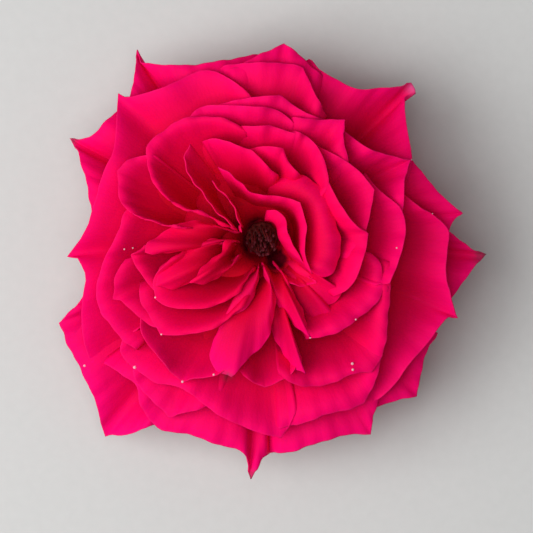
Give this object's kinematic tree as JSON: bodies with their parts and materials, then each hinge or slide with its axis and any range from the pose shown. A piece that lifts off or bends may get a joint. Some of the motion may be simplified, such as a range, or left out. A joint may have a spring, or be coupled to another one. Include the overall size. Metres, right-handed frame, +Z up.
{
  "type": "rose bloom",
  "caption": "Open, quartered garden rose in deep pink: a picked flower head with pointed guard petals, a calyx with folded-back sepals and a short cut stem, resting face up",
  "frame": {"origin": "centre of the bounding box, on the surface that the rose rests on; the stem's axis stands 2.8 mm to -X and 5.9 mm to +Y of it", "axes": "+Z up, out of the open face of the bloom; +Y towards the top of the picture; +X towards its right"},
  "size_m": [0.1072, 0.1094, 0.0452],
  "materials": {
    "stem": "smooth green bark with a freshly cut pale end",
    "calyx": "matt green leaf skin with fine hairs",
    "petals": "velvety deep pink petals, thin and soft",
    "stamens": "matt dark brown-red filaments and anthers"
  },
  "bodies": {
    "root": {"stem": "stem", "calyx": "calyx", "petals": "petals", "stamens": "stamens"}
  },
  "joints": []
}
